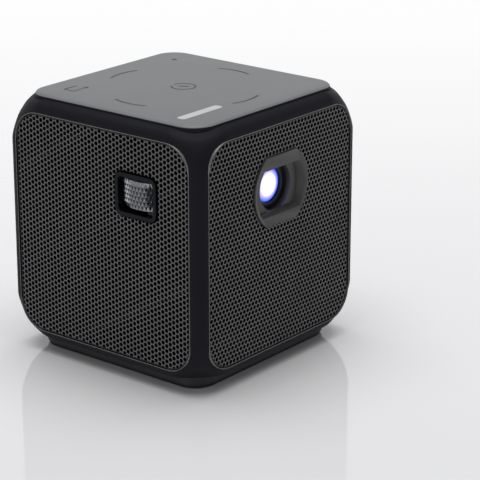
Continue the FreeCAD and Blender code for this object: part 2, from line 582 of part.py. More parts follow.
node(cut("carriage_bored", carriage, [
    rod("ring_eye", "Y", ("lens_x", "-20", "lens_z"), "barrel_r", "20"),
    rod("sleeve_eye_high", "Y", ("lens_x", "-20", "lens_z + rod_off"), "rod_r + 0.05", "20"),
    rod("sleeve_eye_low", "Y", ("lens_x", "-20", "lens_z - rod_off"), "rod_r + 0.05", "20")]), "focus_carriage")

# Speaker behind the left side, under the focus wheel

SPEAKER = ("0", "speaker_z")
basket = fuse("basket_whole", [rod("basket_rim", "X", ("-cloth_back", *SPEAKER), "speaker_r", "1.2"),
                               rod("basket_cup", "X", ("-28.6", *SPEAKER), "8", "5.6")])
node(cut("basket_bored", basket, [rod("basket_room", "X", ("-30", *SPEAKER), "7.3", "6.4")]), "speaker_basket")
node(rod("speaker_magnet", "X", ("-23", *SPEAKER), "6", "4.4"), "speaker_magnet")
cone_out = doc.addObject("Part::Cone", "cone_outside")
bind(cone_out, Radius1="6.9", Radius2="2.6", Height="3.4")
place(cone_out, "-28.6", *SPEAKER, rotation=Rotation(AXES["Z"], AXES["X"]))
cone_in = doc.addObject("Part::Cone", "cone_inside")
bind(cone_in, Radius1="6.4", Radius2="2.1", Height="3.4")
place(cone_in, "-29.0", *SPEAKER, rotation=Rotation(AXES["Z"], AXES["X"]))
shell = cut("cone_shell", cone_out, [cone_in])
node(fuse("cone_whole", [shell, rod("voice_coil", "X", ("-25.6", *SPEAKER), "2.6", "1.4")]), "speaker_cone")

probe = doc.getObject("Probe")
if probe:
    doc.removeObject("Probe")
doc.recompute()
for obj in doc.Objects:
    if "Invalid" in obj.State or "Error" in obj.State:
        raise RuntimeError("%s did not build: %s" % (obj.Name, obj.State))
os.makedirs("parts", exist_ok=True)
for obj in nodes:
    if obj.Shape.isNull() or not obj.Shape.isValid() or not obj.Shape.Solids:
        raise RuntimeError(obj.Label + " is not a valid solid")
    obj.Shape.exportStep("parts/%s.step" % obj.Label)
print("%d parts" % len(nodes))
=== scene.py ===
import json
import math

import bmesh
import bpy
from mathutils import Matrix, Vector, geometry

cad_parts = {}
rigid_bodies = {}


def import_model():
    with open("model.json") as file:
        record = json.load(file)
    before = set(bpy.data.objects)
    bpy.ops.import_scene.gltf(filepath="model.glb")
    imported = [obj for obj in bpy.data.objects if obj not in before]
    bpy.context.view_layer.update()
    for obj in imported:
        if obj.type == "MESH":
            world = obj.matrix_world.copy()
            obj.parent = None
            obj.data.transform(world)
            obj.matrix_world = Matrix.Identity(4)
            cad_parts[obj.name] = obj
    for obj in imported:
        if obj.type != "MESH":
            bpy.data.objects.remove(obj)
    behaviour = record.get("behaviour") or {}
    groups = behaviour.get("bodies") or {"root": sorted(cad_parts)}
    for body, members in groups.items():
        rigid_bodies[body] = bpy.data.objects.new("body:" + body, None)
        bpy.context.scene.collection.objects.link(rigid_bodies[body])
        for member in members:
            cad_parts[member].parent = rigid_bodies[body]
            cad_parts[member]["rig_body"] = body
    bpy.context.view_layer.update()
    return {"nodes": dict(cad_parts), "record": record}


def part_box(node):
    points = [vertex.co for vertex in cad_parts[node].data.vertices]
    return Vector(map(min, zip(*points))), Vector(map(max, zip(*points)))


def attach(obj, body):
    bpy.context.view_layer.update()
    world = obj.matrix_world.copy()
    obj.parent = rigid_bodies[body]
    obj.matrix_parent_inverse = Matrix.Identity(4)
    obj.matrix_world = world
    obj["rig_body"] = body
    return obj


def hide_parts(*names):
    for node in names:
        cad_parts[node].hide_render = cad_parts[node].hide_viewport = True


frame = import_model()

bl_info = {
    "name": "Pocket Projector Looks",
    "version": (1, 0, 0),
    "blender": (4, 5, 0),
    "location": "View3D > Sidebar > Projector",
    "description": "Builds the visible finish of a pocket cube projector on its engineering frame",
    "category": "Object",
}

MM = 0.001


def mid(node):
    """The middle of a node's box, in millimetres."""
    low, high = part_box(node)
    return (Vector(low) + Vector(high)) / 2 / MM


def size(node):
    """The size of a node's box, in millimetres."""
    low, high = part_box(node)
    return (Vector(high) - Vector(low)) / MM


# ---- sizes and colours

def length(name, description, default):
    """A length that the user may change, given in millimetres."""
    return bpy.props.FloatProperty(name=name, description=description, default=default * MM,
                                   subtype="DISTANCE", unit="LENGTH", precision=5)


def hex_colour(text):
    """An sRGB hex colour, made linear."""
    parts = [int(text[i:i + 2], 16) / 255 for i in (1, 3, 5)]
    return tuple(p / 12.92 if p <= 0.04045 else ((p + 0.055) / 1.055) ** 2.4 for p in parts)


def colour(name, description, default):
    """A colour that the user may change, given in sRGB hex."""
    return bpy.props.FloatVectorProperty(name=name, description=description, subtype="COLOR",
                                         size=3, min=0.0, max=1.0, default=hex_colour(default))


class ProjectorSizes(bpy.types.PropertyGroup):
    """Sizes that the visible pieces are made to."""
    pitch: length("Hole pitch", "Distance between neighbouring holes of the perforated sheet",
                  1.30)
    hole: length("Hole radius", "Radius of each hole of the perforated sheet", 0.50)
    sheet: length("Sheet thickness", "Thickness of the perforated sheet", 0.55)
    dimple: length("Dimple", "How far the rim of each hole is dished by the punch", 0.065)
    hem: length("Hem width", "Width of the plain edge round each perforated sheet", 0.25)
    edge: length("Edge softness", "How far moulded edges are rounded", 0.12)
    print_height: length("Print height", "How far the printed marks stand off the top", 0.02)
    knurl_depth: length("Knurl depth", "Height of the pyramids on the focus wheel", 0.42)
    lens_glow: bpy.props.FloatProperty(name="Lens light",
                                       description="How strongly the lens is lit from behind",
                                       default=2.6, min=0.0)


class ProjectorColours(bpy.types.PropertyGroup):
    """Colours that the finishes are mixed from."""
    frame: colour("Frame", "Soft-touch paint on the frame", "#14141a")
    top: colour("Top", "Matt lacquer on the touch plate", "#737576")
    # The grille colour goes on the flat webs only, made paler as painted light.
    grille: colour("Grille", "Powder coat on the perforated sheet", "#59595a")
    bezel: colour("Lens bezel", "Satin moulding round the lens", "#2f2f2e")
    gloss: colour("Focus bezel", "Polished moulding round the focus wheel", "#0b0c12")
    # The wheel colour goes on the facets that look up or out, made paler as painted light.
    wheel: colour("Focus wheel", "Knurled rim of the focus wheel", "#72757a")
    mark: colour("Touch marks", "Printed touch marks", "#1f2122")
    badge: colour("Pale dash", "Plain printed dash on the top", "#bcbebe")
    floor: colour("Floor", "Studio floor", "#fdfdfd")


# ---- materials

def add(tree, kind, sockets=None, **settings):
    """Add a node with its settings, its values and the links into it."""
    node = tree.nodes.new(kind)
    for key, value in settings.items():
        setattr(node, key, value)
    return wire(tree, node, sockets or {})


def wire(tree, node, sockets):
    """Give a node's sockets their links and values."""
    for key, value in sockets.items():
        if isinstance(value, bpy.types.NodeSocket):
            tree.links.new(value, node.inputs[key])
        else:
            node.inputs[key].default_value = value
    return node


def start(name):
    """A new material with its tree, its shader and its place on the piece."""
    material = bpy.data.materials.new(name)
    material.use_nodes = True
    tree = material.node_tree
    place = add(tree, "ShaderNodeTexCoord").outputs["Object"]
    return material, tree, tree.nodes["Principled BSDF"], place


def dim(rgb, share):
    """A colour made darker or lighter, with its alpha."""
    return (rgb[0] * share, rgb[1] * share, rgb[2] * share, 1.0)


# Handling marks are this many times coarser than the mottle they lie over.
SMEAR = 3.1


def finish(name, rgb, rough, ior=1.5, metal=0.0, mottle=9.0, drift=0.12, grain=0.25, relief=0.006,
           coat=0.0, rub=0.06, sheen=0.5):
    """A surface whose colour drifts over mottle millimetres, with a grain of its own.

    drift is how far the colour changes, grain and relief the grain's size and height, rub how far
    handling changes the roughness, and sheen how much it mirrors.
    """
    material, tree, shader, place = start(name)
    cloud = add(tree, "ShaderNodeTexNoise", {"Vector": place, "Scale": 1 / (mottle * MM),
                                             "Detail": 4.0, "Roughness": 0.6})
    tint = add(tree, "ShaderNodeMix", {"Factor": cloud.outputs["Fac"], 6: dim(rgb, 1 - drift),
                                       7: dim(rgb, 1 + drift)}, data_type="RGBA")
    smear = add(tree, "ShaderNodeTexNoise", {"Vector": place, "Scale": 1 / (SMEAR * mottle * MM),
                                             "Detail": 6.0, "Distortion": 0.6})
    worn = add(tree, "ShaderNodeMapRange", {"Value": smear.outputs["Fac"], "From Min": 0.3,
                                            "From Max": 0.7, "To Min": rough - rub,
                                            "To Max": rough + rub})
    speck = add(tree, "ShaderNodeTexNoise", {"Vector": place, "Scale": 1 / (grain * MM),
                                             "Detail": 2.0})
    bump = add(tree, "ShaderNodeBump", {"Height": speck.outputs["Fac"], "Distance": relief * MM,
                                        "Strength": 1.0})
    wire(tree, shader, {"Base Color": tint.outputs[2], "Roughness": worn.outputs["Result"],
                        "Normal": bump.outputs["Normal"], "Metallic": metal,
                        "Specular IOR Level": sheen})
    if not metal:
        wire(tree, shader, {"IOR": ior})
    if coat:
        wire(tree, shader, {"Coat Weight": coat, "Coat Roughness": 0.08})
    return material


def woven(name, rgb, thread):
    """Woven dust cloth: two sets of threads, over and under."""
    material, tree, shader, place = start(name)
    threads = [add(tree, "ShaderNodeTexWave", {"Vector": place, "Scale": 0.31 / (thread * MM),
                                               "Distortion": 0.3},
                   wave_type="BANDS", bands_direction=direction).outputs["Fac"]
               for direction in ("X", "Z")]
    mesh = add(tree, "ShaderNodeMath", dict(enumerate(threads)), operation="MULTIPLY")
    tint = add(tree, "ShaderNodeMix", {"Factor": mesh.outputs[0], 6: dim(rgb, 0.6),
                                       7: dim(rgb, 1.3)}, data_type="RGBA")
    bump = add(tree, "ShaderNodeBump", {"Height": mesh.outputs[0], "Distance": 0.05 * MM,
                                        "Strength": 1.0})
    wire(tree, shader, {"Base Color": tint.outputs[2], "Normal": bump.outputs["Normal"],
                        "Roughness": 0.95, "IOR": 1.3})
    return material


def solder_mask(name, rgb):
    """Fibreglass board: lacquer over copper tracks and rows of pads."""
    material, tree, shader, place = start(name)
    tracks = add(tree, "ShaderNodeTexBrick", {"Vector": place, "Scale": 1 / (4 * MM),
                                              "Mortar Size": 0.03, "Color1": dim(rgb, 1.0),
                                              "Color2": dim(rgb, 0.75), "Mortar": dim(rgb, 1.9)},
                 offset=0.37, squash=0.6)
    cloud = add(tree, "ShaderNodeTexNoise", {"Vector": place, "Scale": 1 / (6 * MM),
                                             "Detail": 3.0})
    tint = add(tree, "ShaderNodeMix", {"Factor": cloud.outputs["Fac"], 6: tracks.outputs["Color"],
                                       7: dim(rgb, 1.1)}, data_type="RGBA")
    bump = add(tree, "ShaderNodeBump", {"Height": tracks.outputs["Fac"], "Distance": 0.02 * MM,
                                        "Strength": 1.0})
    wire(tree, shader, {"Base Color": tint.outputs[2], "Normal": bump.outputs["Normal"],
                        "Roughness": 0.3})
    return material


# Glow across the lens: share of its radius, colour and strength.
GLOW = ((0.44, "#f6f2ff", 0.9), (0.66, "#d0c4ff", 0.5), (0.80, "#b3a8ff", 0.36),
        (0.89, "#4f86ff", 0.44), (0.97, "#2a44d0", 0.22))


def lit_glass(name, centre, radius, strength):
    """Coated lens glass that glows by itself: white in the middle, then violet, then blue, painted
    light in place of the lamps behind it.
    """
    material, tree, shader, place = start(name)
    share = radius * MM
    shift = add(tree, "ShaderNodeMapping", {"Vector": place, "Scale": [1 / share] * 3,
                                            "Location": [-c * MM / share for c in centre]},
                vector_type="POINT")
    flat = add(tree, "ShaderNodeVectorMath", {0: shift.outputs["Vector"], 1: (1.0, 0.0, 1.0)},
               operation="MULTIPLY")
    far = add(tree, "ShaderNodeVectorMath", {0: flat.outputs["Vector"]}, operation="LENGTH")
    glow = add(tree, "ShaderNodeValToRGB", {"Fac": far.outputs["Value"]})
    stops = glow.color_ramp.elements
    stops[0].position, stops[0].color = 0.0, (1.0, 1.0, 1.0, 1.0)
    stops[1].position, stops[1].color = 1.0, (0.002, 0.003, 0.012, 1.0)
    for at, text, bright in GLOW:
        stops.new(at).color = dim(hex_colour(text), bright)
    wire(tree, shader, {"Emission Color": glow.outputs["Color"],
                        "Base Color": glow.outputs["Color"],
                        "Emission Strength": strength, "Roughness": 0.04, "IOR": 1.62,
                        "Coat Weight": 0.6, "Coat Tint": (0.75, 0.8, 1.0, 1.0)})
    return material


def clear_glass(name, rgb):
    """Polished optical glass with a faint coating and a little dust."""
    material, tree, shader, place = start(name)
    dust = add(tree, "ShaderNodeTexNoise", {"Vector": place, "Scale": 1 / (0.8 * MM),
                                            "Detail": 5.0})
    film = add(tree, "ShaderNodeMapRange", {"Value": dust.outputs["Fac"], "To Min": 0.01,
                                            "To Max": 0.09})
    wire(tree, shader, {"Roughness": film.outputs["Result"], "Base Color": (*rgb, 1.0),
                        "Transmission Weight": 1.0, "IOR": 1.52})
    return material


def make_finishes():
    """Every finish on the object, by its name in the record or of its own."""
    tones = bpy.context.scene.projector_colours
    made = {}

    def paint(key, name, tint, *values, **more):
        rgb = hex_colour(tint) if isinstance(tint, str) else tint
        made[key] = finish(name, rgb, *values, **more)

    # Soft-touch paint over moulded ABS: near black with a blue cast and a broad, low sheen.
    paint("frame_plastic", "soft_touch_painted_abs", tones.frame, 0.56, ior=1.42, mottle=14,
          drift=0.10, grain=0.20, relief=0.0035, rub=0.05, sheen=0.14)
    # The same ABS on the lip round each window, painted pale: a painted highlight line along the
    # window's edge.
    paint("painted_highlight_lip", "abs_lip_painted_highlight", "#5e5e60", 0.25, mottle=9, grain=0.3, relief=0.002)
    # Rim of the sheet, painted near black as the shade along the sheet's edge.
    paint("sheet_hem", "sheet_rim_painted_shade", "#0d0d0e", 0.55, mottle=5, grain=0.2, relief=0.006)
    # Punched wall and dished rim of each hole, painted near black as the shade inside the holes.
    paint("hole_wall", "hole_wall_painted_shade", "#161617", 0.5, mottle=4, grain=0.2,
          relief=0.004, sheen=0.35)
    # Acetal cut to teeth: waxy off-white.
    paint("pinion_acetal", "machined_acetal", "#e4e2da", 0.35, ior=1.48, mottle=2, grain=0.15,
          relief=0.004)
    # Sprayed matt lacquer on the touch plate: even grey that takes light softly.
    paint("top_touch", "matt_lacquered_touch_plate", tones.top, 0.50, ior=1.45, mottle=20,
          drift=0.04, grain=0.16, relief=0.002, rub=0.04)
    # Edge of the touch plate: the same plate, painted black. The frame's upward step round the
    # plate takes it too, as painted shade in place of its reflection.
    paint("top_edge", "black_plate_edge_and_painted_shade", "#202024", 0.45, ior=1.45, mottle=10, grain=0.2,
          relief=0.002, sheen=0.04)
    # Powder coat on punched steel: fine orange peel; it lies on the flat webs only, made paler as
    # painted light against the painted shade in the holes.
    paint("grille_steel", "powder_coated_webs_painted_light", tones.grille, 0.46, ior=1.5, mottle=6,
          drift=0.16, grain=0.18, relief=0.010, rub=0.08)
    # Woven black polyester behind the holes, threads drawn at 0.22 mm so that they show.
    made["black_cloth"] = woven("woven_black_polyester", hex_colour("#0c0c0d"), 0.22)
    # Moulded ABS, spark-eroded texture: dark, with a fine even pebble.
    paint("black_abs", "spark_textured_black_abs", "#1d1d20", 0.50, ior=1.46, mottle=8, grain=0.22,
          relief=0.012)
    # ABS from a polished mould: deep black with sharp reflections.
    paint("gloss_black", "polished_black_abs", tones.gloss, 0.16, mottle=12, drift=0.08, grain=0.5,
          relief=0.0012, rub=0.04, sheen=0.12)
    # Satin ABS, warmer and paler than the frame.
    paint("bezel_plastic", "satin_grey_abs", tones.bezel, 0.38, mottle=7, drift=0.10, grain=0.2,
          relief=0.004)
    # Clear-over-silver moulding on the facets that look up or out, made paler as lit facets, its
    # strong fine speckle painted glints.
    paint("wheel_plastic", "knurled_acrylic_painted_glints", tones.wheel, 0.16, metal=0.8, mottle=0.4,
          drift=0.75, grain=0.4, relief=0.004, coat=0.4, rub=0.06)
    # The same moulding on the facets that look down, painted dark as shaded facets.
    paint("wheel_shade", "knurl_facets_painted_shade", "#17181a", 0.2, metal=0.3, mottle=0.5,
          drift=0.5, grain=0.4, relief=0.004, coat=0.4, rub=0.06)
    # Moulded silicone rubber: dull, a little dusty.
    paint("foot_rubber", "moulded_silicone_rubber", "#161617", 0.82, ior=1.41, mottle=5,
          drift=0.25, grain=0.35, relief=0.02)
    # Turned brass: warm yellow, softly bright.
    paint("insert_brass", "turned_brass", "#c9a24b", 0.28, metal=1.0, mottle=3, grain=0.12,
          relief=0.006)
    # Zinc-plated steel: cool silver, lightly clouded.
    paint("zinc_steel", "zinc_plated_steel", "#b9bcc0", 0.32, metal=1.0, mottle=2, drift=0.1,
          grain=0.15, relief=0.005)
    # Drawn steel under bright nickel: warm, bright silver.
    paint("nickel_shell", "nickel_plated_steel", "#c4c2bc", 0.22, metal=1.0, mottle=3, drift=0.06,
          grain=0.3, relief=0.003)
    # Rolled aluminium, left bare: pale and softly clouded.
    paint("deck_aluminium", "rolled_bare_aluminium", "#b6b8ba", 0.36, metal=1.0, mottle=6,
          grain=0.3, relief=0.006)
    # Die-cast magnesium: grainy and dull grey.
    paint("cast_magnesium", "die_cast_magnesium", "#8b8d8f", 0.55, metal=1.0, mottle=4, drift=0.15,
          grain=0.35, relief=0.02)
    # Black anodised aluminium: satin black with a faint metal glint.
    paint("black_aluminium", "black_anodised_aluminium", "#17171a", 0.34, metal=0.3, mottle=5,
          grain=0.12, relief=0.006)
    # Extruded aluminium, left bare: bright, with a fine drawn grain.
    paint("fin_aluminium", "extruded_aluminium", "#c0c2c4", 0.34, metal=1.0, mottle=5, grain=0.2,
          relief=0.006)
    # Drawn copper, a little tarnished.
    paint("copper_pipe", "drawn_copper", "#b8704a", 0.3, metal=1.0, mottle=4, drift=0.2, grain=0.2,
          relief=0.004)
    # Ground and polished glass with a bluish coating.
    made["optical_glass"] = clear_glass("coated_optical_glass", hex_colour("#e4ebff"))
    # Woven glass board under green lacquer, its copper tracks showing through.
    made["board_green"] = solder_mask("solder_masked_fibreglass", hex_colour("#1c6b3a"))
    # Moulded epoxy: dull black with a fine grit.
    paint("chip_black", "moulded_epoxy", "#1a1a1b", 0.6, mottle=3, grain=0.15, relief=0.008)
    # Mirror chip silvered on ceramic: nearly a clean mirror.
    paint("mirror_array", "silvered_ceramic", "#a9abb4", 0.12, metal=0.9, mottle=3, grain=0.2,
          relief=0.002)
    # Laminated pouch foil: dull silver with soft creases.
    paint("battery_foil", "laminated_pouch_foil", "#9fa3a8", 0.38, metal=0.8, mottle=11, grain=4.0,
          relief=0.12)
    # Die-bonded lamps under clear silicone caps: strong colours behind a gloss.
    for key, text in (("lamp_blue", "#2c46d8"), ("lamp_red", "#d8322a"),
                      ("lamp_green", "#2fc04a")):
        paint(key, key + "_silicone_capped", text, 0.2, ior=1.41, mottle=2, grain=0.3,
              relief=0.004, coat=0.5)
    # Injection-moulded acrylic: smooth, faintly blue.
    paint("clear_pipe", "moulded_clear_acrylic", "#c9d6e4", 0.15, ior=1.49, mottle=2, grain=0.4,
          relief=0.003, coat=0.3)
    # Paper pulp pressed to shape: matt, with clumps of fibre.
    paint("cone_paper", "pressed_paper_pulp", "#2b2a29", 0.9, mottle=2, drift=0.3, grain=0.3,
          relief=0.03)
    # Sintered ferrite: dark grey and slightly grainy.
    paint("magnet_steel", "sintered_ferrite", "#3a3a3c", 0.6, metal=0.5, mottle=3, grain=0.2,
          relief=0.01)
    # Pad-printed ink: even and matt, dark for the marks and pale for the dash.
    paint("mark_ink", "dark_pad_printed_ink", tones.mark, 0.45, mottle=3, drift=0.08, grain=0.15,
          relief=0.002)
    paint("badge_ink", "pale_pad_printed_ink", tones.badge, 0.4, mottle=3, drift=0.06, grain=0.15,
          relief=0.002)
    # The front lens, glowing by itself: painted light standing in for the lamps behind it.
    made["lit_lens"] = lit_glass("coated_glass_painted_glow", LENS, LENS_RADIUS,
                                 bpy.context.scene.projector_sizes.lens_glow)
    return made


def got(name):
    """A finish by its key, made once."""
    store = got.store
    if not store:
        store.update(make_finishes())
    return store[name]


got.store = {}


# ---- mesh helpers

SIDE_TURN = {"front": 0, "right": 90, "back": 180, "left": -90}


def side_matrix(side):
    """From (across, up, out) seen from outside a side to the shared frame."""
    upright = Matrix.Rotation(math.radians(90), 4, "X")
    return Matrix.Rotation(math.radians(SIDE_TURN[side]), 4, "Z") @ upright


def piece(name, bm, body, slots, matrix=None, smooth=None, replaces=()):
    """Turn a bmesh in millimetres into a finished object that rides on a body."""
    if matrix:
        bmesh.ops.transform(bm, matrix=matrix, verts=bm.verts)
    bmesh.ops.scale(bm, vec=(MM, MM, MM), verts=bm.verts)
    mesh = bpy.data.meshes.new(name)
    bm.to_mesh(mesh)
    bm.free()
    for key in slots:
        mesh.materials.append(got(key))
    obj = bpy.data.objects.new(name, mesh)
    bpy.context.scene.collection.objects.link(obj)
    if smooth is not None:
        mesh.shade_smooth()
        if smooth < 180:
            mesh.set_sharp_from_angle(angle=math.radians(smooth))
    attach(obj, body)
    if replaces:
        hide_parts(*replaces)
    return obj


def rounded_face(bm, half_w, half_h, radius, at=(0, 0), out=0.0, steps=8):
    """A flat rounded rectangle, returned as one face."""
    made = bmesh.ops.create_grid(bm, x_segments=1, y_segments=1, size=1.0)["verts"]
    bmesh.ops.scale(bm, vec=(half_w, half_h, 1), verts=made)
    bmesh.ops.translate(bm, vec=(at[0], at[1], out), verts=made)
    done = bmesh.ops.bevel(bm, geom=made, offset=radius, offset_type="OFFSET", segments=steps,
                           profile=0.5, affect="VERTICES", material=-1, clamp_overlap=True)
    verts = set(done["verts"])
    return [f for f in bm.faces if verts & set(f.verts)][0]


# Sides of a round outline.
ROUND_STEPS = 96


def barrel_face(bm, radius, flat, at=(0, 0), out=0.0, steps=ROUND_STEPS):
    """A disc with its top and bottom cut flat, returned as one face."""
    made = bmesh.ops.create_circle(bm, cap_ends=True, segments=steps, radius=radius)["verts"]
    for sign in (1, -1):
        geom = [g for g in bm.faces if set(g.verts) <= set(made)]
        geom = geom + list({e for f in geom for e in f.edges}) + made
        cut = bmesh.ops.bisect_plane(bm, geom=geom, plane_co=(0, sign * flat, 0),
                                     plane_no=(0, sign, 0), clear_outer=True)
        kept = {v for v in only(cut["geom"], "BMVert") if v.is_valid}
        made = list(kept | set(only(cut["geom_cut"], "BMVert")))
    face = [f for f in bm.faces if set(f.verts) <= set(made)][0]
    bmesh.ops.translate(bm, vec=(at[0], at[1], out), verts=list(face.verts))
    return face


def lift(bm, faces, out):
    """Extrude faces outwards by a distance and return the new ones."""
    made = bmesh.ops.extrude_face_region(bm, geom=list(faces))["geom"]
    verts = only(made, "BMVert")
    bmesh.ops.translate(bm, vec=(0, 0, out), verts=verts)
    return only(made, "BMFace")


def only(geom, kind):
    """The vertices, edges or faces of a mixed list."""
    return [g for g in geom if isinstance(g, getattr(bmesh.types, kind))]


def outwards(bm):
    """Turn every face outwards."""
    bmesh.ops.recalc_face_normals(bm, faces=bm.faces)


def soften(bm, edges, width, steps=3):
    """Round off edges."""
    return bmesh.ops.bevel(bm, geom=list(edges), offset=width, offset_type="OFFSET",
                           segments=steps, profile=0.5,
                           affect="EDGES", material=-1, clamp_overlap=True)


def slab(bm, face, depth, edge=0.0, steps=3):
    """Thicken a face outwards by depth and soften its outer rim."""
    lift(bm, [face], depth)
    top = face.calc_center_median()[2] + depth
    if edge:
        rim = [e for e in bm.edges if len(e.link_faces) == 2 and e.calc_face_angle(0) > 1.0
               and all(abs(v.co.z - top) < 1e-6 for v in e.verts)]
        soften(bm, rim, edge, steps)


def ring(bm, face, width, depth, edge, steps=3):
    """A raised ring: a face less its middle, thickened outwards, with its front rims softened."""
    front = face.calc_center_median()[2] + depth
    strip = bmesh.ops.inset_region(bm, faces=[face], thickness=width, use_even_offset=True,
                                   use_boundary=True)["faces"]
    bmesh.ops.delete(bm, geom=[face], context="FACES_ONLY")
    lift(bm, strip, depth)
    bmesh.ops.remove_doubles(bm, verts=bm.verts, dist=1e-5)
    outwards(bm)
    rim = [e for e in bm.edges if e.is_manifold and e.calc_face_angle(0) > 1.0
           and all(abs(v.co.z - front) < 1e-5 for v in e.verts)]
    if edge:
        soften(bm, rim, edge, steps)


def turned(bm, profile, steps=64):
    """Spin a profile of (radius, height) points about Z into a closed shape."""
    verts = [bm.verts.new((r, 0, z)) for r, z in profile]
    edges = [bm.edges.new(pair) for pair in zip(verts, verts[1:])]
    bmesh.ops.spin(bm, geom=verts + edges, cent=(0, 0, 0), axis=(0, 0, 1), angle=math.tau,
                   steps=steps, use_merge=True)
    bmesh.ops.remove_doubles(bm, verts=bm.verts, dist=1e-5)
    outwards(bm)


def softened(node, width, slots, angle=40, steps=2):
    """A copy of a CAD node with its sharp edges rounded, in its place."""
    source = frame["nodes"][node]
    bm = bmesh.new()
    bm.from_mesh(source.data)
    bmesh.ops.remove_doubles(bm, verts=bm.verts, dist=1e-7)
    bmesh.ops.dissolve_limit(bm, angle_limit=math.radians(0.5), use_dissolve_boundaries=False,
                             verts=bm.verts, edges=bm.edges, delimit={"NORMAL"})
    bmesh.ops.scale(bm, vec=(1 / MM, 1 / MM, 1 / MM), verts=bm.verts)
    obj = piece(node + "_soft", bm, source["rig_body"], slots, smooth=35, replaces=(node,))
    bevel = obj.modifiers.new("Softened edges", "BEVEL")
    bevel.width = width * MM
    bevel.segments = steps
    bevel.limit_method = "ANGLE"
    bevel.angle_limit = math.radians(angle)
    bevel.use_clamp_overlap = True
    bevel.harden_normals = True
    return obj


# ---- perforated sheets

def inside(point, outline):
    """Whether a flat point lies inside a closed outline."""
    x, y = point
    odd = False
    for (x0, y0), (x1, y1) in zip(outline, outline[1:] + outline[:1]):
        if (y0 > y) != (y1 > y) and x < (x1 - x0) * (y - y0) / (y1 - y0) + x0:
            odd = not odd
    return odd


def outline_of(draw, *values):
    """The corner points of a flat face, in order."""
    bm = bmesh.new()
    face = draw(bm, *values)
    points = [(v.co.x, v.co.y) for v in face.verts]
    bm.free()
    return points


def trim(bm, outline, keep_inside, reach):
    """Cut a flat sheet along an outline and keep one side of it."""
    for (x0, y0), (x1, y1) in zip(outline, outline[1:] + outline[:1]):
        along = Vector((x1 - x0, y1 - y0, 0))
        if along.length < 1e-6:
            continue
        middle = Vector(((x0 + x1) / 2, (y0 + y1) / 2, 0))
        far = along.length / 2 + reach
        along.normalize()
        across = Vector((-along.y, along.x, 0))
        near = []
        for face in bm.faces:
            offset = face.verts[0].co - middle
            if abs(offset.dot(across)) < reach and abs(offset.dot(along)) < far:
                near.append(face)
        if near:
            geom = near + list({e for f in near for e in f.edges}) + list({v for f in near
                                                                           for v in f.verts})
            bmesh.ops.bisect_plane(bm, geom=geom, dist=1e-5, plane_co=middle, plane_no=across)
    lost = [f for f in bm.faces if inside(f.calc_center_median()[:2], outline) != keep_inside]
    bmesh.ops.delete(bm, geom=lost, context="FACES")


def sheet_cell(pitch, hole, dimple, thick, upright):
    """One six-sided cell of perforated sheet, its hole dished towards the front."""
    bm = bmesh.new()
    loops = []
    for segments, radius, z in ((6, pitch / math.sqrt(3), 0), (12, hole + dimple, 0),
                                (12, hole, -dimple),
                                (12, hole, -thick), (6, pitch / math.sqrt(3), -thick)):
        made = bmesh.ops.create_circle(bm, segments=segments, radius=radius)["verts"]
        bmesh.ops.translate(bm, vec=(0, 0, z), verts=made)
        loops.append(list({e for v in made for e in v.link_edges}))
    for one, two in zip(loops, loops[1:]):
        bmesh.ops.bridge_loops(bm, edges=one + two)
    if upright:
        bmesh.ops.rotate(bm, cent=(0, 0, 0), matrix=Matrix.Rotation(math.radians(90), 3, "Z"),
                         verts=bm.verts)
    outwards(bm)
    if max(bm.faces, key=lambda f: f.calc_center_median().z).normal.z < 0:
        bmesh.ops.reverse_faces(bm, faces=bm.faces)
    mesh = bpy.data.meshes.new("sheet_cell")
    bm.to_mesh(mesh)
    bm.free()
    return mesh


def cell_centres(pitch, half_w, half_h, upright):
    """Centres of the cells over a panel, in rows that shift by half a pitch."""
    if upright:
        return [(y, x) for x, y in cell_centres(pitch, half_h, half_w, False)]
    step = pitch * math.sqrt(3) / 2
    columns, rows = int(half_w / pitch) + 2, int(half_h / step) + 2
    return [((i + (j % 2) / 2) * pitch, j * step) for j in range(-rows, rows + 1)
            for i in range(-columns, columns + 1)]


def depth_in(point, outline):
    """How far a flat point lies inside a closed outline; negative outside."""
    spot, near = Vector(point), math.inf
    for a, b in zip(outline, outline[1:] + outline[:1]):
        if a != b:
            foot, share = geometry.intersect_point_line(spot, Vector(a), Vector(b))
            near = min(near, (spot - (foot if 0 < share < 1 else Vector(a))).length)
    return near if inside(point, outline) else -near


def lay_cells(bm, cell, centres):
    """Copy the cell's mesh to each centre."""
    for _ in centres:
        bm.from_mesh(cell)
    count = len(cell.vertices)
    for index, vert in enumerate(bm.verts):
        x, y = centres[index // count]
        vert.co.x += x
        vert.co.y += y


def perforated_sheet(cell, centres, outer, inner):
    """Cells that fill an outline less a cut-out; those on an edge are cut to it."""
    reach = max(v.co.length for v in cell.vertices) * 1.01
    whole, cut = [], []
    for centre in centres:
        depth = depth_in(centre, outer)
        if inner:
            depth = min(depth, -depth_in(centre, inner))
        if depth > reach:
            whole.append(centre)
        elif depth > -reach:
            cut.append(centre)
    bm = bmesh.new()
    lay_cells(bm, cell, cut)
    trim(bm, outer, True, 2 * reach)
    if inner:
        trim(bm, inner, False, 2 * reach)
    edge = bpy.data.meshes.new("sheet_edge")
    bm.to_mesh(edge)
    bm.clear()
    lay_cells(bm, cell, whole)
    bm.from_mesh(edge)
    bmesh.ops.remove_doubles(bm, verts=bm.verts, dist=1e-4)
    return bm


LENS = mid("front_lens")
WHEEL = mid("wheel_axle")
PANEL = size("grille_right")
PANEL_MID = mid("grille_right").z
PANEL_FACE = max(abs(corner[0]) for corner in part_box("grille_right")) / MM
# Sizes from here on are in millimetres, and "out" is the distance of a face from the centre.
PANEL_ROUND = 6.9

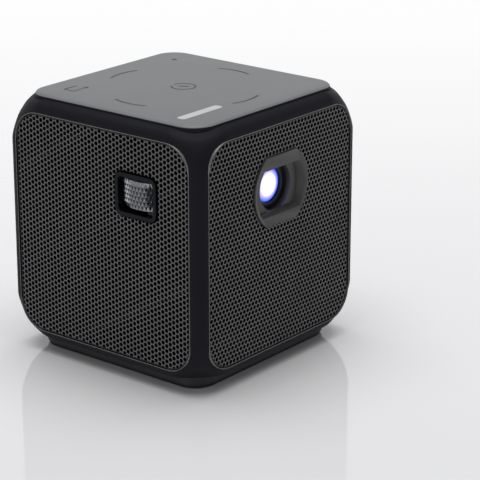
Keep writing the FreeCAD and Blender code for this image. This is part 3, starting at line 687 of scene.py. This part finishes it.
# Lens surround: its outline, its front and back, and the recess stepping down to the bore, each
# step as (radius, half height between the flats, height of its middle, out).
LENS_HEIGHT = 46.0
BEZEL_ROUND, BEZEL_FLAT = 10.4, 8.7
BEZEL_FRONT, BEZEL_BASE = 31.3, 28.4
BEZEL_EDGE = 0.28
RECESS = ((9.35, 5.85, 45.65, 31.05), (9.15, 5.65, 45.65, 30.85), (8.3, 5.3, 45.75, 29.25))
BORE_RADIUS, BORE_ENDS = 5.95, (29.1, 26.6)

# Front lens: a little smaller than its seat, its face part of a ball.
LENS_RADIUS = (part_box("front_lens")[1][0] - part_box("front_lens")[0][0]) / MM / 2 - 0.02
LENS_CURVE = 14.0
DOME_STEPS = 10

# Focus window: half width, half height, corner and height of its middle.
WINDOW_WIDE, WINDOW_TALL, WINDOW_ROUND, WINDOW_MID = 6.4, 5.32, 2.0, 47.32
WINDOW_BASE, WINDOW_DEEP = 29.04, 2.11
WINDOW_RIM, WINDOW_EDGE = 0.95, 0.42

# Openings of the sheets, each a little larger than what stands in it.
BEZEL_GAP, WINDOW_GAP = 0.1, 0.4
HOLES = {
    "front": (barrel_face, BEZEL_ROUND + BEZEL_GAP, BEZEL_FLAT + BEZEL_GAP,
              (LENS.x, LENS_HEIGHT - PANEL_MID)),
    "left": (rounded_face, WINDOW_WIDE + WINDOW_GAP, WINDOW_TALL + WINDOW_GAP,
             WINDOW_ROUND + WINDOW_GAP, (-WHEEL.y, WINDOW_MID - PANEL_MID)),
    "right": None,
    "back": (rounded_face, 22.15, 8.9, 2.15, (0, 18.25 - PANEL_MID)),
}
HEM_EDGE = 0.1

# Lip of each window of the frame, painted pale as a highlight line.
LIP_WIDTH, LIP_GAP, LIP_EDGE = 0.16, 0.2, 0.05
LIP_BASE, LIP_DEEP = 30.3, 0.73


class PROJECTOR_OT_grilles(bpy.types.Operator):
    """Make the four perforated sheets with their hems"""
    bl_idname = "projector.grilles"
    bl_label = "Perforated sides"

    def execute(self, context):
        sizes = context.scene.projector_sizes
        pitch, thick, hem = sizes.pitch / MM, sizes.sheet / MM, sizes.hem / MM
        half_w, half_h = PANEL.y / 2, PANEL.z / 2
        outer = outline_of(rounded_face, half_w - hem, half_h - hem, PANEL_ROUND - hem)
        for side, cut in HOLES.items():
            upright = side in ("left", "right")
            inner = outline_of(*cut) if cut else None
            cell = sheet_cell(pitch, sizes.hole / MM, sizes.dimple / MM, thick, upright)
            bm = perforated_sheet(cell, cell_centres(pitch, half_w, half_h, upright), outer, inner)
            bmesh.ops.translate(bm, vec=(0, PANEL_MID, PANEL_FACE), verts=bm.verts)
            # Faces that don't face straight out, the dished rims and the hole walls, take the
            # hole_wall finish: painted shade.
            for face in bm.faces:
                face.material_index = 0 if abs(face.normal.z) > 0.99 else 1
            piece("sheet_" + side, bm, "housing", ["grille_steel", "hole_wall"], side_matrix(side),
                  replaces=("grille_" + side,))
            bm = bmesh.new()
            face = rounded_face(bm, half_w, half_h, PANEL_ROUND, (0, PANEL_MID),
                                PANEL_FACE - thick)
            ring(bm, face, hem, thick, HEM_EDGE, 2)
            # The hem is painted near black: painted shade round the sheet.
            piece("hem_" + side, bm, "housing", ["sheet_hem"], side_matrix(side), 40)
            bm = bmesh.new()
            reach = LIP_GAP + LIP_WIDTH
            face = rounded_face(bm, half_w + reach, half_h + reach, PANEL_ROUND + reach,
                                (0, PANEL_MID), LIP_BASE)
            ring(bm, face, LIP_WIDTH, LIP_DEEP, LIP_EDGE, 2)
            # The lip's pale finish is a painted highlight line.
            piece("lip_" + side, bm, "housing", ["painted_highlight_lip"], side_matrix(side), 40)
        return {"FINISHED"}


# ---- top plate

PLATE_ROUND, PLATE_EDGE = 6.0, 1.0

# Printed marks, placed from the plate's middle: four arcs, each bowed away from it.
ARC = {"radius": 13.0, "width": 0.58, "sweep_deg": 44, "steps": 18, "away": 7.45}
POWER_RING = {"radius": 2.95, "width": 0.45, "start_deg": 120, "sweep_deg": 330, "steps": 44}
POWER_BAR, POWER_TURN = (0.28, 1.35, 0.26, (0.2, 0)), 30
DOT_RADIUS, DOT_AT = 0.72, (19.5, 19.7)
# The return mark: bars as (half width, half height, x, y), and the tip of its arrow.
RETURN_BARS = ((0.22, 1.65, -20.4, 19.4), (2.3, 0.22, -18.2, 20.9), (2.3, 0.22, -18.2, 17.9))
BAR_ROUND = 0.2
TIP_RADIUS, TIP_AT = 0.9, (-15.6, 17.9)
PALE_DASH = (7.3, 1.25, 0.9, (-15.9, -18.6))


class PROJECTOR_OT_top(bpy.types.Operator):
    """Make the touch plate with its printed marks"""
    bl_idname = "projector.top"
    bl_label = "Touch plate"

    def execute(self, context):
        low, high = [Vector(c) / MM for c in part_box("top_plate")]
        bm = bmesh.new()
        face = rounded_face(bm, high.x, high.y, PLATE_ROUND, (0, 0), low.z, 12)
        slab(bm, face, high.z - low.z, PLATE_EDGE, 6)
        outwards(bm)
        for face in bm.faces:
            face.material_index = 0 if face.normal.z > 0.6 else 1
        piece("touch_plate", bm, "housing", ["top_touch", "top_edge"], smooth=40,
              replaces=("top_plate",))
        self.marks(context, high.z)
        return {"FINISHED"}

    def marks(self, context, top):
        """Print the dark touch marks and the pale dash."""
        height = context.scene.projector_sizes.print_height / MM
        bm = bmesh.new()
        for turn in (0, 90, 180, 270):
            self.arc(bm, start_deg=turn - ARC["sweep_deg"] / 2, **ARC)
        self.arc(bm, **POWER_RING)
        self.turn(bm, rounded_face(bm, *POWER_BAR, 0, 4).verts, POWER_TURN)
        made = bmesh.ops.create_circle(bm, cap_ends=True, segments=24, radius=DOT_RADIUS)["verts"]
        bmesh.ops.translate(bm, vec=(*DOT_AT, 0), verts=made)
        for half_w, half_h, x, y in RETURN_BARS:
            rounded_face(bm, half_w, half_h, BAR_ROUND, (x, y), 0, 4)
        tip = bmesh.ops.create_circle(bm, cap_ends=True, segments=3, radius=TIP_RADIUS)["verts"]
        self.turn(bm, tip, -90)
        bmesh.ops.translate(bm, vec=(*TIP_AT, 0), verts=tip)
        self.stand(bm, height)
        piece("touch_marks", bm, "housing", ["mark_ink"], Matrix.Translation((0, 0, top)), 30)
        bm = bmesh.new()
        rounded_face(bm, *PALE_DASH, 0, 6)
        self.stand(bm, height)
        piece("pale_dash", bm, "housing", ["badge_ink"], Matrix.Translation((0, 0, top)), 30)

    def arc(self, bm, radius, width, start_deg, sweep_deg, steps, away=0.0):
        """A flat band along an arc whose centre is moved from the plate's towards its bow."""
        a, middle = math.radians(start_deg), math.radians(start_deg + sweep_deg / 2)
        centre = Vector((away * math.cos(middle), away * math.sin(middle), 0))
        verts = [bm.verts.new(centre + Vector((r * math.cos(a), r * math.sin(a), 0)))
                 for r in (radius - width / 2, radius + width / 2)]
        edge = bm.edges.new(verts)
        bmesh.ops.spin(bm, geom=verts + [edge], cent=centre, axis=(0, 0, 1),
                       angle=math.radians(sweep_deg), steps=steps, use_merge=False)

    def turn(self, bm, verts, degrees):
        """Turn part of a mark about the plate's middle."""
        bmesh.ops.rotate(bm, cent=(0, 0, 0), matrix=Matrix.Rotation(math.radians(degrees), 3, "Z"),
                         verts=verts)

    def stand(self, bm, height):
        """Give flat marks their thickness, facing up."""
        outwards(bm)
        down = [f for f in bm.faces if f.normal.z < 0]
        bmesh.ops.reverse_faces(bm, faces=down)
        lift(bm, bm.faces[:], height)
        outwards(bm)


# ---- lens

class PROJECTOR_OT_lens(bpy.types.Operator):
    """Make the lens bezel with its recess, and the lit front lens"""
    bl_idname = "projector.lens"
    bl_label = "Lens"

    def execute(self, context):
        bm = bmesh.new()
        outer = barrel_face(bm, BEZEL_ROUND, BEZEL_FLAT, (LENS.x, LENS_HEIGHT), BEZEL_BASE)
        lift(bm, [outer], BEZEL_FRONT - BEZEL_BASE)
        rims = []
        for level in (BEZEL_FRONT, BEZEL_BASE):
            ends = [f for f in bm.faces if all(abs(v.co.z - level) < 1e-6 for v in f.verts)]
            rims.append([e for f in ends for e in f.edges])
            bmesh.ops.delete(bm, geom=ends, context="FACES_ONLY")
        loops = [rims[0]]
        for radius, flat, height, level in RECESS:
            face = barrel_face(bm, radius, flat, (LENS.x, height), level)
            loops.append(list(face.edges))
            bmesh.ops.delete(bm, geom=[face], context="FACES_ONLY")
        for level in BORE_ENDS:
            made = bmesh.ops.create_circle(bm, segments=ROUND_STEPS, radius=BORE_RADIUS)["verts"]
            bmesh.ops.translate(bm, vec=(LENS.x, LENS_HEIGHT, level), verts=made)
            loops.append(list({e for v in made for e in v.link_edges}))
        for one, two in zip(loops, loops[1:] + [rims[1]]):
            bmesh.ops.bridge_loops(bm, edges=[e for e in one + two if e.is_valid])
        outwards(bm)
        edge = [e for e in bm.edges if e.is_manifold and e.calc_face_angle(0) > 0.9
                and all(v.co.z > BEZEL_FRONT - 0.1 for v in e.verts)]
        soften(bm, edge, BEZEL_EDGE, 4)
        piece("lens_surround", bm, "housing", ["bezel_plastic"], side_matrix("front"), 32,
              replaces=("lens_bezel",))
        self.glass()
        softened("lens_barrel", 0.18, ["black_aluminium"])
        return {"FINISHED"}

    def glass(self):
        """A domed lens with its edge seated in the barrel."""
        low, high = [Vector(c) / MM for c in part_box("front_lens")]
        front, back = -low.y, -high.y
        dip = LENS_CURVE - math.sqrt(LENS_CURVE ** 2 - LENS_RADIUS ** 2)
        profile = [(0, back), (LENS_RADIUS, back), (LENS_RADIUS, front - dip)]
        for step in range(DOME_STEPS - 1, -1, -1):
            radius = LENS_RADIUS * step / DOME_STEPS
            profile.append((radius, front - LENS_CURVE + math.sqrt(LENS_CURVE ** 2 - radius ** 2)))
        bm = bmesh.new()
        turned(bm, profile)
        bmesh.ops.translate(bm, vec=(LENS.x, LENS.z, 0), verts=bm.verts)
        piece("lens_glass", bm, "lens", ["lit_lens"], side_matrix("front"), 40,
              replaces=("front_lens",))


# ---- focus wheel

# Underside of the wheel's rim, and the step from it to the pinion.
RIM_LOW, PINION_GAP = 43.8, 0.05
# Knurl: pyramids round the rim, rows of them, the plain chamfer at each end, and the axle's bore.
PYRAMIDS, ROWS, SHOULDER, WHEEL_BORE = 56, 6, 0.3, 1.55


class PROJECTOR_OT_focus(bpy.types.Operator):
    """Make the focus wheel's knurl and the polished bezel round it"""
    bl_idname = "projector.focus"
    bl_label = "Focus wheel"

    def execute(self, context):
        sizes = context.scene.projector_sizes
        low, high = [Vector(c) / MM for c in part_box("focus_wheel")]
        depth = sizes.knurl_depth / MM
        self.knurl(RIM_LOW, high.z, (high.x - low.x) / 2 - depth, depth)
        self.pinion(RIM_LOW - PINION_GAP)
        bm = bmesh.new()
        face = rounded_face(bm, WINDOW_WIDE, WINDOW_TALL, WINDOW_ROUND, (-WHEEL.y, WINDOW_MID),
                            WINDOW_BASE, 8)
        ring(bm, face, WINDOW_RIM, WINDOW_DEEP, WINDOW_EDGE, 5)
        piece("focus_surround", bm, "housing", ["gloss_black"], side_matrix("left"), 40,
              replaces=("focus_bezel",))
        return {"FINISHED"}

    def knurl(self, low, top, radius, depth):
        """A rim of tall pyramids in brick order, chamfered, and closed round the axle bore."""
        bm = bmesh.new()
        made = bmesh.ops.create_circle(bm, segments=2 * PYRAMIDS, radius=radius)["verts"]
        bmesh.ops.translate(bm, vec=(0, 0, low + SHOULDER), verts=made)
        edges = list(bm.edges)
        rise = (top - low - 2 * SHOULDER) / ROWS
        for _ in range(ROWS):
            grown = bmesh.ops.extrude_edge_only(bm, edges=edges)["geom"]
            bmesh.ops.translate(bm, vec=(0, 0, rise), verts=only(grown, "BMVert"))
            edges = only(grown, "BMEdge")
        valleys = []
        for vert in bm.verts:
            turn = round(math.atan2(vert.co.y, vert.co.x) / math.tau * 2 * PYRAMIDS)
            row = round((vert.co.z - low - SHOULDER) / rise)
            if (turn + row) % 2 or row in (0, ROWS):
                valleys.append(vert)
            else:
                vert.co.xy *= (radius + depth) / radius
        bmesh.ops.connect_verts(bm, verts=valleys)
        for edge_z, end_z in ((low + SHOULDER, low), (top - SHOULDER, top)):
            loop = [e for e in bm.edges if e.is_boundary and abs(e.verts[0].co.z - edge_z) < 1e-4]
            for z, r in ((end_z, radius - SHOULDER), (end_z, WHEEL_BORE)):
                grown = bmesh.ops.extrude_edge_only(bm, edges=loop)["geom"]
                for vert in only(grown, "BMVert"):
                    vert.co.xy = vert.co.xy.normalized() * r
                    vert.co.z = z
                loop = only(grown, "BMEdge")
        bmesh.ops.bridge_loops(bm, edges=[e for e in bm.edges if e.is_boundary])
        outwards(bm)
        # Facets that look down take the dark wheel_shade finish, the rest the pale one: painted
        # shade and painted light.
        for face in bm.faces:
            face.material_index = 1 if face.normal.z < -0.05 else 0
        piece("knurled_wheel", bm, "focus", ["wheel_plastic", "wheel_shade"],
              Matrix.Translation((WHEEL.x, WHEEL.y, 0)), replaces=("focus_wheel",))

    def pinion(self, top):
        """The wheel's own small gear, cut from the engineering part."""
        bm = bmesh.new()
        bm.from_mesh(frame["nodes"]["focus_wheel"].data)
        bmesh.ops.scale(bm, vec=(1 / MM, 1 / MM, 1 / MM), verts=bm.verts)
        bmesh.ops.remove_doubles(bm, verts=bm.verts, dist=1e-4)
        geom = bm.verts[:] + bm.edges[:] + bm.faces[:]
        bmesh.ops.bisect_plane(bm, geom=geom, plane_co=(0, 0, top), plane_no=(0, 0, 1),
                               clear_outer=True)
        bmesh.ops.bridge_loops(bm, edges=[e for e in bm.edges if e.is_boundary])
        outwards(bm)
        piece("focus_pinion", bm, "focus", ["pinion_acetal"], smooth=35)


# ---- moulded parts, ports and foot

# How far below the frame's top its flat step may lie.
STEP_DEPTH = 1.5


class PROJECTOR_OT_mouldings(bpy.types.Operator):
    """Soften the edges of the frame, port plate, sockets and foot"""
    bl_idname = "projector.mouldings"
    bl_label = "Moulded parts"

    def execute(self, context):
        edge = context.scene.projector_sizes.edge / MM
        shell = softened("frame_shell", edge, ["frame_plastic", "top_edge"], angle=50, steps=3)
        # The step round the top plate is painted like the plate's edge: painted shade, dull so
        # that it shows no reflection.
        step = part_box("frame_shell")[1][2] - STEP_DEPTH * MM
        for face in shell.data.polygons:
            if face.normal.z > 0.8 and face.center.z > step:
                face.material_index = 1
        softened("port_plate", 0.25, ["black_abs"])
        softened("power_slider", 0.2, ["black_abs"])
        softened("base_plate", 0.35, ["black_abs"], angle=50)
        softened("foot_pad", 0.3, ["foot_rubber"], angle=50)
        for node in ("hdmi_socket", "usb_socket", "charge_socket"):
            softened(node, 0.1, ["nickel_shell"])
        softened("audio_jack", 0.15, ["chip_black"])
        return {"FINISHED"}


class PROJECTOR_OT_finishes(bpy.types.Operator):
    """Give every engineering part that still shows its real finish"""
    bl_idname = "projector.finishes"
    bl_label = "Finishes"

    def execute(self, context):
        for entry in frame["record"]["subparts"]:
            mesh = frame["nodes"][entry["node"]].data
            material = got(entry["material_slot"])
            if not mesh.materials:
                mesh.materials.append(material)
            for index in range(len(mesh.materials)):
                mesh.materials[index] = material
        return {"FINISHED"}


# ---- stage

# The stage is in metres.
FLOOR_HALF = 6.0
# Heights, as shares of straight up, where the pale wall begins to darken and where it is dark.
WALL_PALE, WALL_DARK = 0.22, 0.46
# Lamps: name, place, width and power.
LAMPS = (("overhead", (0.05, 0.05, 1.6), 1.5, 26.0), ("wheel_side", (-1.2, 0.1, 0.35), 0.5, 1.0))
LAMP_AIM = (0, 0, 0.034)
CAMERA_AT = (-0.3693, -0.3156, 0.1925)
CAMERA_AZIMUTH, CAMERA_ELEVATION = math.radians(-51.122), math.radians(18.929)
CAMERA_SENSOR, CAMERA_LENS = 36.0, 152.66


class PROJECTOR_OT_stage(bpy.types.Operator):
    """Set out the pale floor, the soft lights and the camera"""
    bl_idname = "projector.stage"
    bl_label = "Stage"

    def execute(self, context):
        scene = context.scene
        bm = bmesh.new()
        bmesh.ops.create_grid(bm, x_segments=2, y_segments=2, size=FLOOR_HALF)
        mesh = bpy.data.meshes.new("studio_floor")
        bm.to_mesh(mesh)
        bm.free()
        floor = bpy.data.objects.new("studio_floor", mesh)
        scene.collection.objects.link(floor)
        # Gloss-laminated white board: bright, with a faint soft mirror image.
        material, tree, shader, place = start("white_laminated_board")
        cloud = add(tree, "ShaderNodeTexNoise", {"Vector": place, "Scale": 3.0, "Detail": 3.0})
        rough = add(tree, "ShaderNodeMapRange", {"Value": cloud.outputs["Fac"], "To Min": 0.04,
                                                 "To Max": 0.09})
        wire(tree, shader, {"Base Color": (*scene.projector_colours.floor, 1.0),
                            "Roughness": rough.outputs["Result"], "Coat Weight": 1.0,
                            "Coat Roughness": 0.05, "Coat IOR": 2.1})
        mesh.materials.append(material)
        self.lights(scene)
        self.camera(scene)
        return {"FINISHED"}

    def lights(self, scene):
        """A pale wall that darkens overhead, a high key light and a weak one beside the wheel."""
        world = bpy.data.worlds.new("Studio")
        world.use_nodes = True
        tree = world.node_tree
        place = add(tree, "ShaderNodeTexCoord").outputs["Generated"]
        height = add(tree, "ShaderNodeSeparateXYZ", {"Vector": place}).outputs["Z"]
        wall = add(tree, "ShaderNodeValToRGB", {"Fac": height})
        stops = wall.color_ramp.elements
        stops[0].position, stops[0].color = WALL_PALE, (1.0, 1.0, 1.0, 1.0)
        stops[1].position, stops[1].color = WALL_DARK, (0.13, 0.13, 0.15, 1.0)
        sky = tree.nodes["Background"]
        wire(tree, sky, {"Color": wall.outputs["Color"], "Strength": 1.0})
        scene.world = world
        for name, at, width, power in LAMPS:
            light = bpy.data.lights.new(name, "AREA")
            light.shape = "SQUARE"
            light.size = width
            light.energy = power
            lamp = bpy.data.objects.new(name, light)
            scene.collection.objects.link(lamp)
            lamp.location = at
            lamp.visible_camera = False
            lamp.rotation_euler = (Vector(at) - Vector(LAMP_AIM)).to_track_quat("Z",
                                                                                "Y").to_euler()
        scene.view_settings.view_transform = "Standard"

    def camera(self, scene):
        """A long lens, raised a little, on the corner between the lens and the wheel."""
        data = bpy.data.cameras.new("Camera")
        data.sensor_width = CAMERA_SENSOR
        data.lens = CAMERA_LENS
        camera = bpy.data.objects.new("Camera", data)
        scene.collection.objects.link(camera)
        camera.location = CAMERA_AT
        camera.rotation_euler = (math.pi / 2 - CAMERA_ELEVATION, 0.0, CAMERA_AZIMUTH)
        scene.camera = camera


# ---- panel and run

STEPS = (PROJECTOR_OT_grilles, PROJECTOR_OT_top, PROJECTOR_OT_lens, PROJECTOR_OT_focus,
         PROJECTOR_OT_mouldings, PROJECTOR_OT_finishes, PROJECTOR_OT_stage)


class PROJECTOR_PT_panel(bpy.types.Panel):
    """Lists the sizes, the colours and the steps"""
    bl_label = "Pocket projector"
    bl_idname = "PROJECTOR_PT_panel"
    bl_space_type = "VIEW_3D"
    bl_region_type = "UI"
    bl_category = "Projector"

    def draw(self, context):
        for group in (context.scene.projector_sizes, context.scene.projector_colours):
            for name in group.__annotations__:
                self.layout.prop(group, name)
        for step in STEPS:
            self.layout.operator(step.bl_idname)


CLASSES = (ProjectorSizes, ProjectorColours) + STEPS + (PROJECTOR_PT_panel,)


def register():
    for cls in CLASSES:
        bpy.utils.register_class(cls)
    bpy.types.Scene.projector_sizes = bpy.props.PointerProperty(type=ProjectorSizes)
    bpy.types.Scene.projector_colours = bpy.props.PointerProperty(type=ProjectorColours)


def unregister():
    del bpy.types.Scene.projector_colours
    del bpy.types.Scene.projector_sizes
    for cls in reversed(CLASSES):
        bpy.utils.unregister_class(cls)


def main():
    register()
    for step in STEPS:
        group, name = step.bl_idname.split(".")
        getattr(getattr(bpy.ops, group), name)()


if __name__ == "__main__":
    main()
